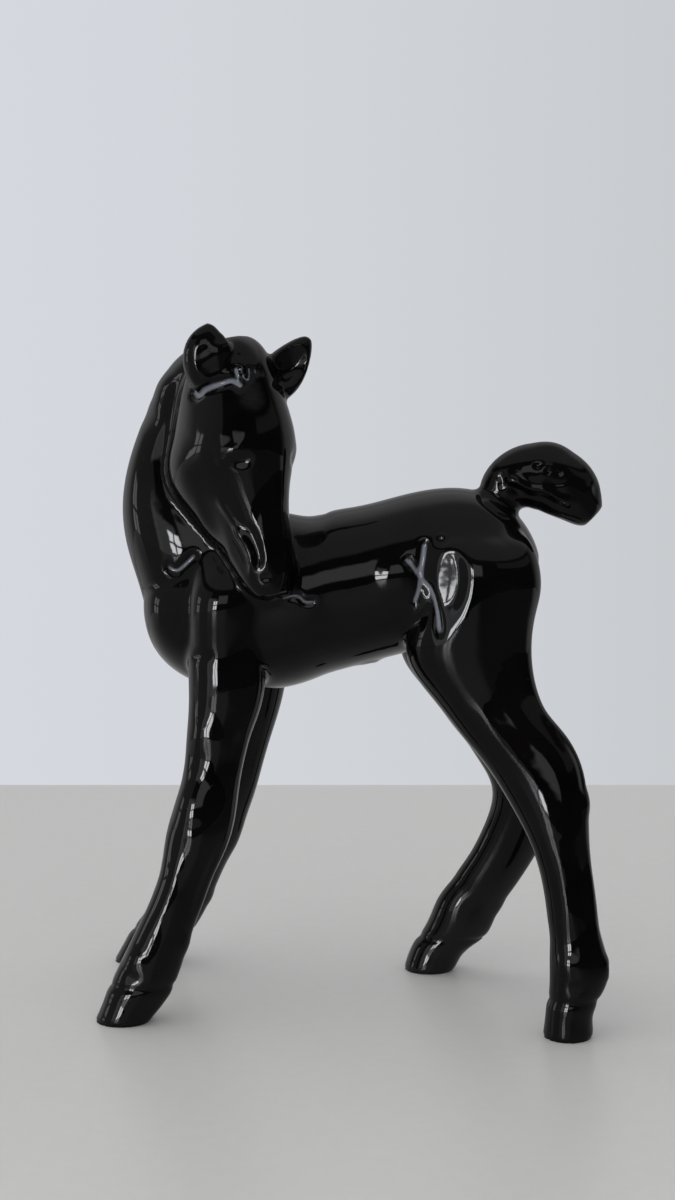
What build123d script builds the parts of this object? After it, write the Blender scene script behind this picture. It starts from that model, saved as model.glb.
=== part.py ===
"""Glazed ceramic foal, standing with splayed legs, its head turned back to its near flank.

The figure is cast in ten pieces that are luted together before firing: the trunk, the neck, the head,
two ears, four legs and the tail. The trunk, neck and head are hollow. Their cavities are joined, and
one vent under the belly lets the air out in the kiln. The legs, ears and tail are cast solid.

Frame: +X to the tail, -Y to the near side, +Z up. The origin is under the middle of the figure, at its soles.
"""

import os

from build123d import *

# ---- Driving dimensions, in millimetres ----
figure_height = 190.0  # soles to the tip of the near ear
stance_width = 56.0  # between the middles of a near and a far hoof
trunk_width = 39.0  # across the ribs
casting_wall = 3.0  # thickness the slip leaves in the mould
vent_diameter = 4.0  # hole under the belly
passage_diameter = 5.0  # hole between the neck and head cavities
sole_across = 13.2  # width of each hoof at the ground

# ---- Sculpted sizes: the stations below are for a figure this tall, this wide and this splayed ----
sculpted_height = 190.0
sculpted_stance = 56.0
sculpted_trunk = 39.0
size = figure_height / sculpted_height

# Where the trunk castings are trimmed flat to take a leg or the neck
hind_joint_height = 92.0
fore_joint_height = 85.0
neck_joint = (-47.5, 0.0, 131.1)
neck_joint_slope = (-0.57, 0.0, 0.82)

# Trunk: x, middle height, height, width, from the chest to the rump
trunk_stations = [
    (-59.6, 112.1, 10.0, 9.0),
    (-57.9, 111.6, 20.0, 18.0),
    (-54.0, 110.4, 29.0, 27.0),
    (-49.2, 110.0, 35.5, 32.0),
    (-42.6, 110.2, 41.3, 36.0),
    (-33.0, 111.9, 47.5, 38.5),
    (-20.0, 113.8, 49.5, 39.0),
    (-7.0, 116.2, 45.5, 38.5),
    (4.0, 118.8, 44.5, 38.0),
    (15.5, 121.9, 44.5, 38.0),
    (26.5, 124.4, 42.5, 38.0),
    (36.5, 126.0, 36.0, 35.0),
    (44.0, 125.8, 27.0, 27.0),
    (48.8, 124.4, 17.5, 17.0),
    (51.2, 123.1, 8.0, 8.0),
]

# Legs: x, distance from the mid-plane, height, length fore and aft, width across, slope in degrees
near_hind_stations = [
    (33.5, 6.0, 133.6, 22.0, 10.0, 0.0),
    (35.0, 11.0, 126.6, 32.0, 21.5, -3.0),
    (34.3, 12.5, 113.6, 33.6, 21.5, 5.0),
    (32.8, 14.0, 101.6, 34.0, 19.5, 14.0),
    (36.0, 15.0, 93.1, 28.5, 17.0, 17.0),
    (40.5, 16.5, 85.1, 24.0, 15.0, 24.0),
    (45.3, 18.0, 78.6, 22.0, 13.5, 32.0),
    (50.6, 19.3, 71.8, 22.6, 12.8, 35.0),
    (54.6, 21.2, 64.4, 21.6, 12.2, 34.0),
    (57.2, 23.2, 55.0, 17.4, 11.2, 28.0),
    (59.0, 24.6, 44.6, 14.2, 10.6, 20.0),
    (60.6, 26.1, 34.1, 13.5, 10.5, 12.0),
    (61.9, 27.0, 25.3, 14.0, 11.0, 5.0),
    (62.7, 27.8, 18.1, 15.6, 12.0, 0.0),
    (61.9, 28.0, 12.6, 14.2, 11.6, 0.0),
    (60.8, 28.0, 8.9, 12.9, 11.6, 0.0),
    (60.1, 28.0, 4.6, 12.7, 12.4, 0.0),
    (59.7, 28.0, 0.0, 13.2, sole_across, 0.0),
]
far_hind_stations = [
    (32.0, 6.0, 133.6, 22.0, 10.0, 0.0),
    (33.0, 11.0, 126.6, 32.0, 21.5, -3.0),
    (32.0, 12.5, 111.6, 35.0, 21.5, 6.0),
    (30.8, 14.0, 97.6, 34.5, 19.0, 14.0),
    (35.0, 15.2, 88.6, 29.0, 17.0, 17.0),
    (39.1, 16.5, 80.6, 25.8, 15.0, 19.0),
    (43.5, 17.6, 73.6, 23.8, 13.5, 22.0),
    (47.2, 19.3, 66.1, 22.6, 12.6, 19.0),
    (48.7, 21.2, 56.6, 20.6, 12.0, 8.0),
    (45.6, 23.0, 45.1, 18.8, 11.2, -5.0),
    (41.2, 24.1, 36.1, 17.0, 10.6, -20.0),
    (36.6, 25.1, 28.6, 16.4, 10.5, -31.0),
    (32.2, 26.3, 21.2, 17.2, 11.0, -35.0),
    (28.4, 27.0, 14.8, 17.0, 12.0, -32.0),
    (24.9, 27.7, 9.8, 14.4, 11.6, -27.0),
    (22.2, 28.0, 5.8, 14.4, 12.2, -19.0),
    (20.4, 28.0, 2.0, 14.8, 13.0, -8.0),
    (19.6, 28.0, 0.0, 14.6, sole_across, 0.0),
]
near_fore_stations = [
    (-32.0, 6.0, 131.6, 20.0, 14.0, 0.0),
    (-33.0, 10.5, 120.6, 24.0, 19.5, 0.0),
    (-34.2, 12.6, 107.6, 22.5, 18.6, 0.0),
    (-34.2, 14.0, 96.6, 21.5, 17.0, 0.0),
    (-34.2, 15.4, 89.1, 20.8, 15.6, -1.0),
    (-35.3, 16.6, 82.1, 18.8, 14.2, -3.0),
    (-36.6, 18.0, 74.6, 17.0, 13.0, -1.0),
    (-38.0, 19.1, 65.6, 16.2, 12.4, -2.0),
    (-39.5, 20.5, 57.9, 17.3, 12.8, -3.0),
    (-41.0, 21.6, 51.6, 17.6, 12.8, -5.0),
    (-42.8, 22.7, 45.1, 16.0, 11.6, -7.0),
    (-44.9, 23.8, 38.1, 14.2, 10.6, -10.0),
    (-47.6, 25.1, 30.4, 14.1, 10.5, -13.0),
    (-50.6, 26.1, 22.8, 14.8, 11.0, -16.0),
    (-54.0, 27.0, 14.4, 16.0, 12.0, -17.0),
    (-56.9, 27.6, 8.4, 15.8, 12.0, -17.0),
    (-59.4, 28.0, 3.8, 14.8, 12.6, -12.0),
    (-61.4, 28.0, 0.0, 15.2, sole_across, 0.0),
]
far_fore_stations = [
    (-30.5, 6.0, 131.6, 20.0, 14.0, 0.0),
    (-31.0, 10.5, 120.6, 24.0, 19.5, 0.0),
    (-31.5, 12.6, 107.6, 22.5, 18.6, 0.0),
    (-31.6, 14.0, 95.6, 21.5, 16.8, 1.0),
    (-32.8, 15.4, 83.6, 20.0, 14.6, 2.0),
    (-35.9, 17.2, 71.1, 18.2, 13.0, 0.0),
    (-39.3, 18.6, 58.6, 17.4, 12.6, -3.0),
    (-43.0, 20.5, 47.6, 17.0, 12.4, -8.0),
    (-46.7, 22.2, 36.6, 15.0, 11.0, -13.0),
    (-51.3, 23.9, 26.6, 14.2, 10.5, -20.0),
    (-56.2, 25.5, 17.8, 15.2, 11.0, -25.0),
    (-60.8, 26.8, 10.8, 15.6, 12.0, -25.0),
    (-64.4, 27.6, 6.0, 15.4, 12.2, -22.0),
    (-66.8, 28.0, 3.2, 15.0, 12.6, -10.0),
    (-69.4, 28.0, 0.0, 14.8, sole_across, 0.0),
]

# Neck: middle point, width in the neck's own plane, depth across it
neck_stations = [
    ((-36.0, 0.0, 114.6), 40.0, 27.0),
    ((-43.5, 0.0, 125.6), 41.0, 28.0),
    ((-50.0, 0.8, 135.6), 33.0, 26.0),
    ((-53.0, 2.2, 146.1), 26.5, 22.5),
    ((-52.2, 2.8, 156.1), 22.0, 20.0),
    ((-49.2, 1.8, 165.6), 19.5, 19.0),
    ((-44.6, -1.2, 173.2), 19.0, 19.0),
    ((-38.0, -5.8, 176.8), 18.0, 18.5),
    ((-31.5, -10.5, 176.6), 15.0, 16.0),
]

# Head: distance down from the poll, front of the face, back of the jaw, half widths at brow and jowl
poll = (-29.8, -14.5, 186.6)
face_down = (0.170, -0.160, -0.972)
face_forward = (0.690, -0.690, 0.234)
head_stations = [
    (0.0, 1.0, -11.5, 5.0, 5.0),
    (3.0, 3.6, -18.0, 8.5, 8.0),
    (9.0, 5.8, -23.5, 11.0, 11.0),
    (16.0, 7.2, -27.5, 12.6, 12.4),
    (24.0, 8.4, -32.0, 14.2, 13.6),
    (31.5, 8.2, -35.0, 14.8, 14.0),
    (38.5, 6.4, -34.0, 12.4, 12.8),
    (46.0, 5.0, -29.0, 9.8, 10.6),
    (54.0, 4.2, -21.0, 8.0, 8.6),
    (61.5, 3.4, -15.0, 7.2, 7.4),
    (67.0, 2.4, -11.0, 6.4, 6.4),
    (71.0, 0.4, -7.6, 4.4, 4.2),
]

# Ears: middle point, width, thickness, from the root to the tip, and the hollow scooped out of the front
near_ear_stations = [
    ((-36.0, -19.0, 172.1), 9.5, 7.0),
    ((-37.2, -20.2, 176.1), 12.4, 8.2),
    ((-38.3, -21.0, 180.0), 12.6, 7.6),
    ((-38.6, -21.4, 184.0), 10.4, 6.2),
    ((-37.6, -21.4, 187.4), 6.4, 4.4),
    ((-36.6, -21.2, 189.5), 2.4, 2.2),
]
far_ear_stations = [
    ((-23.5, -12.0, 171.6), 9.5, 7.0),
    ((-20.4, -10.8, 175.4), 12.0, 7.6),
    ((-17.4, -9.8, 179.2), 11.0, 7.0),
    ((-14.8, -9.0, 182.8), 8.0, 5.6),
    ((-12.9, -8.4, 185.4), 4.6, 3.8),
    ((-12.0, -8.1, 186.6), 2.0, 2.0),
]
near_ear_scoop = ((-36.6, -28.6, 180.0), (-0.05, -0.10, 1.0))
far_ear_scoop = ((-15.8, -15.2, 179.2), (0.60, 0.20, 0.78))
scoop_length = 15.0
scoop_width = 11.0

# Tail: middle point, width in the vertical plane, thickness across
tail_stations = [
    ((36.5, 0.0, 136.6), 11.0, 9.5),
    ((39.6, 0.0, 141.6), 12.0, 10.0),
    ((42.4, 0.0, 145.8), 15.2, 11.5),
    ((46.5, 0.0, 148.2), 17.6, 13.0),
    ((51.3, 0.0, 148.8), 18.4, 13.5),
    ((56.2, 0.0, 147.2), 18.4, 13.0),
    ((60.6, 0.0, 143.8), 16.4, 12.0),
    ((63.6, 0.0, 140.4), 12.4, 10.0),
    ((66.2, 0.0, 137.8), 7.0, 6.5),
]

# Vent: a point outside the belly, and how far up the hole is cut from it
vent_start = (4.0, 0.0, 92.6)
vent_cut = 8.0

# Air passage from the neck's cavity into the head's: where it starts, its way, and how far it is cut
passage_start = (-50.0, 1.5, 162.6)
passage_way = (0.72, -0.60, 0.12)
passage_cut = 22.0

# The figure's middle, fore and aft, is half way from the far fore toe to the tip of the tail
toe = far_fore_stations[-1]
tail_tip = tail_stations[-1]
middle = ((toe[0] - toe[3] / 2) + (tail_tip[0][0] + tail_tip[1] / 3)) / 2


def at(x, y, z):
    """A sculpted point, in the figure's own frame and size."""
    return Vector((x - middle) * size, y * size, z * size)


def oval(across_x, across_y):
    """Points round an oval of these two widths."""
    turns = [Vector(1, 0).rotate(Axis.Z, index * 360 / 8) for index in range(8)]
    return [(turn.X * across_x / 2, turn.Y * across_y / 2) for turn in turns]


def leg_plane(station, side):
    """The plane of a leg's section, on side -1, the near one, or +1."""
    x, out, z, _, _, slope = station
    splay = out / sculpted_stance * 2
    y = side * (out + splay * (stance_width - sculpted_stance) / 2)
    tilted = Plane.XY.rotated((0, -slope, 0))
    return Plane(origin=at(x, y, z), x_dir=tilted.x_dir, z_dir=tilted.z_dir)


def path_plane(points, index):
    """The plane square to a path of points at one of them, with its y axis across the figure."""
    before = at(*points[max(index - 1, 0)])
    after = at(*points[min(index + 1, len(points) - 1)])
    along = (after - before).normalized()
    across = Vector(0, 1, 0)
    return Plane(origin=at(*points[index]), x_dir=across.cross(along), z_dir=along)


def leg_blank(stations, side):
    """A whole leg, from inside the trunk to the sole."""
    with BuildPart() as leg:
        for station in stations:
            with BuildSketch(leg_plane(station, side)):
                with BuildLine():
                    Spline(oval(station[3] * size, station[4] * size), periodic=True)
                make_face()
        loft()
    return leg.part


def swept_blank(stations, wall=0.0):
    """A solid through oval sections square to a path, or the space inside its wall."""
    points = [station[0] for station in stations]
    with BuildPart() as blank:
        for index, station in enumerate(stations):
            with BuildSketch(path_plane(points, index)):
                with BuildLine():
                    Spline(oval(station[1] * size - 2 * wall, station[2] * size - 2 * wall), periodic=True)
                make_face()
        loft()
    return blank.part


def trunk_blank(wall=0.0):
    """The trunk without legs or neck, or the space inside its wall."""
    widen = trunk_width / sculpted_trunk
    # The cavity stops where the chest and the rump get too low to hold it
    least_height = 6 * wall
    with BuildPart() as trunk:
        for x, z, height, width in trunk_stations:
            if height * size > least_height:
                with BuildSketch(Plane(origin=at(x, 0, z), x_dir=(0, 1, 0), z_dir=(1, 0, 0))):
                    with BuildLine():
                        Spline(oval(width * widen * size - 2 * wall, height * size - 2 * wall), periodic=True)
                    make_face()
        loft()
    return trunk.part


def head_blank(wall=0.0):
    """The head without ears, or the space inside its wall, which stops short of the poll and the lips."""
    top = Plane(origin=at(*poll), x_dir=face_forward, z_dir=face_down)
    stations = head_stations[2:-3] if wall else head_stations
    with BuildPart() as head:
        for down, face, jaw, brow, jowl in stations:
            front = face * size - wall
            back = jaw * size + wall
            depth = front - back
            near = [
                (front - 0.12 * depth, 0.72 * (brow * size - wall)),
                (front - 0.36 * depth, brow * size - wall),
                (front - 0.66 * depth, jowl * size - wall),
                (front - 0.90 * depth, 0.62 * (jowl * size - wall)),
            ]
            far = [(x, -y) for x, y in reversed(near)]
            with BuildSketch(top.offset(down * size)):
                with BuildLine():
                    Spline([(front, 0), *near, (back, 0), *far], periodic=True)
                make_face()
        loft()
    return head.part


def scoop_blank(place, along):
    """The spindle that hollows out the cup of an ear."""
    with BuildPart() as spindle:
        with BuildSketch(Plane(origin=at(*place), z_dir=Vector(*along).cross(Vector(0, 1, 0)), x_dir=along)):
            Ellipse(scoop_length * size / 2, scoop_width * size / 2)
            split(bisect_by=Plane.XZ, keep=Keep.TOP)
        revolve(axis=Axis(at(*place), along))
    return spindle.part


# ---- Luting planes ----
hind_joint = Plane(origin=(0, 0, hind_joint_height * size), z_dir=(0, 0, 1))
fore_joint = Plane(origin=(0, 0, fore_joint_height * size), z_dir=(0, 0, 1))
neck_trim = Plane(origin=at(*neck_joint), z_dir=neck_joint_slope)

# ---- Legs, from the luting plane down ----
near_hind_blank = leg_blank(near_hind_stations, -1)
far_hind_blank = leg_blank(far_hind_stations, 1)
near_fore_blank = leg_blank(near_fore_stations, -1)
far_fore_blank = leg_blank(far_fore_stations, 1)

with BuildPart() as near_hind_leg:
    add(near_hind_blank)
    split(bisect_by=hind_joint, keep=Keep.BOTTOM)

with BuildPart() as far_hind_leg:
    add(far_hind_blank)
    split(bisect_by=hind_joint, keep=Keep.BOTTOM)

with BuildPart() as near_foreleg:
    add(near_fore_blank)
    split(bisect_by=fore_joint, keep=Keep.BOTTOM)

with BuildPart() as far_foreleg:
    add(far_fore_blank)
    split(bisect_by=fore_joint, keep=Keep.BOTTOM)

# ---- Trunk, with its shoulders, its haunches and the root of the neck ----
neck_outside = swept_blank(neck_stations)
neck_inside = swept_blank(neck_stations[1:-1], casting_wall)
trunk_outside = trunk_blank()
trunk_inside = trunk_blank(casting_wall)
neck_root_inside = split(neck_inside, bisect_by=neck_trim, keep=Keep.BOTTOM)

with BuildPart() as trunk_solid:
    add(trunk_outside)
    add(split(near_hind_blank, bisect_by=hind_joint, keep=Keep.TOP, mode=Mode.PRIVATE))
    add(split(far_hind_blank, bisect_by=hind_joint, keep=Keep.TOP, mode=Mode.PRIVATE))
    add(split(near_fore_blank, bisect_by=fore_joint, keep=Keep.TOP, mode=Mode.PRIVATE))
    add(split(far_fore_blank, bisect_by=fore_joint, keep=Keep.TOP, mode=Mode.PRIVATE))
    add(split(neck_outside, bisect_by=neck_trim, keep=Keep.BOTTOM, mode=Mode.PRIVATE))

with BuildPart() as trunk:
    add(trunk_solid.part)
    add(trunk_inside, mode=Mode.SUBTRACT)
    add(neck_root_inside, mode=Mode.SUBTRACT)
    with BuildSketch(Plane(origin=at(*vent_start))):
        Circle(vent_diameter / 2)
    extrude(amount=vent_cut * size, mode=Mode.SUBTRACT)

# ---- Head and neck ----
head_outside = head_blank()
head_inside = head_blank(casting_wall)

with BuildPart() as head:
    add(head_outside)
    add(head_inside, mode=Mode.SUBTRACT)
    # The lip is dressed to the flank it is luted to
    add(trunk_solid.part, mode=Mode.SUBTRACT)
    with BuildSketch(Plane(origin=at(*passage_start), z_dir=passage_way)):
        Circle(passage_diameter / 2)
    extrude(amount=passage_cut * size, mode=Mode.SUBTRACT)

with BuildPart() as neck:
    add(neck_outside)
    split(bisect_by=neck_trim, keep=Keep.TOP)
    add(head_outside, mode=Mode.SUBTRACT)
    add(neck_inside, mode=Mode.SUBTRACT)

# ---- Ears and tail ----
near_ear_blank = swept_blank(near_ear_stations)
near_scoop = scoop_blank(*near_ear_scoop)
far_ear_blank = swept_blank(far_ear_stations)
far_scoop = scoop_blank(*far_ear_scoop)
tail_blank = swept_blank(tail_stations)

with BuildPart() as near_ear:
    add(near_ear_blank)
    add(near_scoop, mode=Mode.SUBTRACT)
    add(head_outside, mode=Mode.SUBTRACT)

with BuildPart() as far_ear:
    add(far_ear_blank)
    add(far_scoop, mode=Mode.SUBTRACT)
    add(head_outside, mode=Mode.SUBTRACT)

with BuildPart() as tail:
    add(tail_blank)
    add(trunk_solid.part, mode=Mode.SUBTRACT)

# ---- One file for each casting ----
castings = {
    "trunk": trunk,
    "neck": neck,
    "head": head,
    "near_ear": near_ear,
    "far_ear": far_ear,
    "near_foreleg": near_foreleg,
    "far_foreleg": far_foreleg,
    "near_hind_leg": near_hind_leg,
    "far_hind_leg": far_hind_leg,
    "tail": tail,
}
os.makedirs("parts", exist_ok=True)
for name, casting in castings.items():
    casting.part.label = name
    export_step(casting.part, f"parts/{name}.step")
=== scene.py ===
"""A foal in black glazed ceramic, modelled round its packed castings.

The castings are luted into one clay figure, the joints are filled, and the head, folds, tail and hooves are
modelled. The figure is then parted along its joints again, so that each casting is its own closed piece.
"""

import math

import bmesh
import bpy
import numpy as np
from bpy.props import FloatProperty, FloatVectorProperty, IntProperty, PointerProperty
from mathutils import Matrix, Vector
from mathutils.bvhtree import BVHTree


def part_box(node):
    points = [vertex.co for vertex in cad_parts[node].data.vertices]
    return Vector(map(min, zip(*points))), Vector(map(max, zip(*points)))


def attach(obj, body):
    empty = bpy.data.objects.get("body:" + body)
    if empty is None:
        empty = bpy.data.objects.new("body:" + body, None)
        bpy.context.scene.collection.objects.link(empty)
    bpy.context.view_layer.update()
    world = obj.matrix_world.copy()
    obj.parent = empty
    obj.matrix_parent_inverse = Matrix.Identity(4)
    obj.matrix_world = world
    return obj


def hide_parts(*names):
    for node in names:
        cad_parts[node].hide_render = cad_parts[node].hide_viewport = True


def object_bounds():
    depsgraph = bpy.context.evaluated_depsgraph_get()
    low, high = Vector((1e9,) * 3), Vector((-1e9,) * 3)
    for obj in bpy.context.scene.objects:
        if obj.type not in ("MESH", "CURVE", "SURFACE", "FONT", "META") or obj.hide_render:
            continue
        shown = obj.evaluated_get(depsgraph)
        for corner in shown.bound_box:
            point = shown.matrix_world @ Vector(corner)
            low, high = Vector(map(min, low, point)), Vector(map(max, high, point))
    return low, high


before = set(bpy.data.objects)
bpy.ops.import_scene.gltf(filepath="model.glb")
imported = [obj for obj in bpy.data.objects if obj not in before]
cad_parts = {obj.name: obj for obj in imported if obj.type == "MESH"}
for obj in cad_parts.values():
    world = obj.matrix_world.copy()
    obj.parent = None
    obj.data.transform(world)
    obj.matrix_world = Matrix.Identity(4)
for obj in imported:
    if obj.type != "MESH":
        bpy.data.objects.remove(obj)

bl_info = {
    "name": "Glazed foal",
    "version": (1, 0, 0),
    "blender": (4, 5, 0),
    "location": "3D View > Sidebar > Foal",
    "description": "Models and glazes a ceramic foal round its castings",
    "category": "Object",
}

MM = 0.001
DEGREES = 180.0 / math.pi
LOWEST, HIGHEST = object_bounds()
CASTINGS = sorted(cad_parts)
CLAY = "clay_figure"

# How far the table reaches, and where it ends behind the figure, in metres
TABLE_REACH = 3.0
TABLE_BACK = 0.3098

# How deep the edge of a luting face goes in before it turns across, in metres
LUTING_DEPTH = 0.0009

# Where the vent is, under the middle of the belly, in metres
VENT = Vector((8.13, 0.0, 98.2)) * MM

# The plug that stops the vent while the figure is luted, in metres. Its seat is the ring of belly between these two
# distances from the vent, above where the legs begin, and its middle is this much higher than the seat.
PLUG_RADIUS = 0.0026
PLUG_DEPTH = 0.0024
PLUG_SEAT = (0.0021, 0.0045)
PLUG_RISE = 0.0015
LEGS_BELOW = 0.09

# Points closer than this are one point, and a casting is only looked for this far outside its own box, in metres
SAME_POINT = 1e-7
CASTING_MARGIN = 0.006

# A cut between two castings stays this far from both ends of the edge that it splits
CUT_RANGE = (0.08, 0.92)

# The head's own directions, and its poll, which places on the head are measured from
HEAD_DOWN = Vector((0.170, -0.160, -0.972)).normalized()
HEAD_FORWARD = Vector((0.690, -0.690, 0.234))
HEAD_FORWARD = (HEAD_FORWARD - HEAD_DOWN * HEAD_FORWARD.dot(HEAD_DOWN)).normalized()
HEAD_SIDE = HEAD_DOWN.cross(HEAD_FORWARD)
HEAD_AXES = (HEAD_DOWN, HEAD_FORWARD, HEAD_SIDE)
POLL = Vector((-25.7, -14.5, 186.6))
FIGURE_AXES = (Vector((1, 0, 0)), Vector((0, 1, 0)), Vector((0, 0, 1)))


def on_head(down, forward, side):
    """A place on the head, in millimetres of the figure."""
    return POLL + HEAD_DOWN * down + HEAD_FORWARD * forward + HEAD_SIDE * side


# ---------------------------------------------------------------- settings


class ClaySettings(bpy.types.PropertyGroup):
    grain: FloatProperty(
        name="Grain", description="Spacing of the modelled surface's points", default=0.00052, subtype="DISTANCE"
    )
    quick_grain: FloatProperty(
        name="Quick grain", description="The same, for a quick look", default=0.0008, subtype="DISTANCE"
    )
    fillet: FloatProperty(
        name="Fillet", description="How wide slip fills the hollow of a joint", default=0.005, subtype="DISTANCE"
    )
    vent_radius: FloatProperty(
        name="Vent radius", description="Radius of the kiln vent under the belly", default=0.002, subtype="DISTANCE"
    )


class GlazeSettings(bpy.types.PropertyGroup):
    glaze: FloatVectorProperty(
        name="Glaze", description="Colour of the glaze", default=(0.0010, 0.0010, 0.0011), subtype="COLOR"
    )
    thin_glaze: FloatVectorProperty(
        name="Thin glaze",
        description="Colour where the glaze has run thin",
        default=(0.0032, 0.0026, 0.0026),
        subtype="COLOR",
    )
    # A pale colour painted into the folds: painted highlight, standing for the light that the folds reflect
    fold_highlight_colour: FloatVectorProperty(
        name="Painted fold highlight",
        description="Pale colour painted into the folds as a highlight",
        default=(0.22, 0.235, 0.27),
        subtype="COLOR",
    )
    bare_clay: FloatVectorProperty(
        name="Bare clay", description="Colour of the unglazed clay", default=(0.62, 0.56, 0.49), subtype="COLOR"
    )
    roughness: FloatProperty(name="Roughness", description="Roughness of the glaze", default=0.035, min=0.0, max=1.0)


class StageSettings(bpy.types.PropertyGroup):
    lens: FloatProperty(name="Lens", description="Focal length in millimetres", default=52.5)
    camera_place: FloatVectorProperty(
        name="Camera", description="Place of the camera", default=(0.0504, -0.4878, 0.1586), subtype="TRANSLATION"
    )
    camera_pitch: FloatProperty(
        name="Pitch", description="How far the camera looks down", default=math.radians(5.2), subtype="ANGLE"
    )
    camera_turn: FloatProperty(
        name="Turn", description="Turn of the camera about the vertical", default=math.radians(6.0), subtype="ANGLE"
    )


# ---------------------------------------------------------------- shader maths


class Wire:
    """A socket in a node tree that can be added to, scaled and compared."""

    def __init__(self, tree, socket):
        self.tree = tree
        self.socket = socket

    def maths(self, operation, first, second=None):
        values = {0: first} if second is None else {0: first, 1: second}
        return self.tree.node("ShaderNodeMath", {"operation": operation}, values).out()

    def __add__(self, other):
        return self.maths("ADD", self, other)

    __radd__ = __add__

    def __sub__(self, other):
        return self.maths("SUBTRACT", self, other)

    def __rsub__(self, other):
        return self.maths("SUBTRACT", other, self)

    def __mul__(self, other):
        return self.maths("MULTIPLY", self, other)

    __rmul__ = __mul__

    def __abs__(self):
        return self.maths("ABSOLUTE", self)


class Placed:
    """A node that has been set up, to take its outputs from."""

    def __init__(self, tree, node):
        self.tree = tree
        self.node = node

    def out(self, name=0):
        return Wire(self.tree, self.node.outputs[name])


class Tree:
    """A node tree under construction."""

    def __init__(self, node_tree):
        self.nodes = node_tree.nodes
        self.links = node_tree.links
        self.nodes.clear()

    def node(self, kind, settings=None, inputs=None):
        node = self.nodes.new(kind)
        for name, value in (settings or {}).items():
            if name == "stops":
                ramp = node.color_ramp.elements
                while len(ramp) < len(value):
                    ramp.new(1.0)
                for stop, (position, colour) in zip(ramp, value):
                    stop.position = position
                    stop.color = colour
            else:
                setattr(node, name, value)
        for name, value in (inputs or {}).items():
            if isinstance(value, Wire):
                self.links.new(value.socket, node.inputs[name])
            else:
                node.inputs[name].default_value = value
        return Placed(self, node)

    def smooth_step(self, value, low, high):
        """0 below low and 1 above high, smoothly between."""
        settings = {"interpolation_type": "SMOOTHSTEP"}
        return self.node("ShaderNodeMapRange", settings, {"Value": value, "From Min": low, "From Max": high}).out()

    def mixed(self, factor, first, second):
        """A colour between two colours."""
        settings = {"data_type": "RGBA"}
        return self.node("ShaderNodeMix", settings, {0: factor, 6: first, 7: second}).out(2)


def opaque(colour, factor=1.0):
    """A colour with full opacity, dimmed by a factor."""
    return (colour[0] * factor, colour[1] * factor, colour[2] * factor, 1.0)


# ---------------------------------------------------------------- clay


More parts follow.
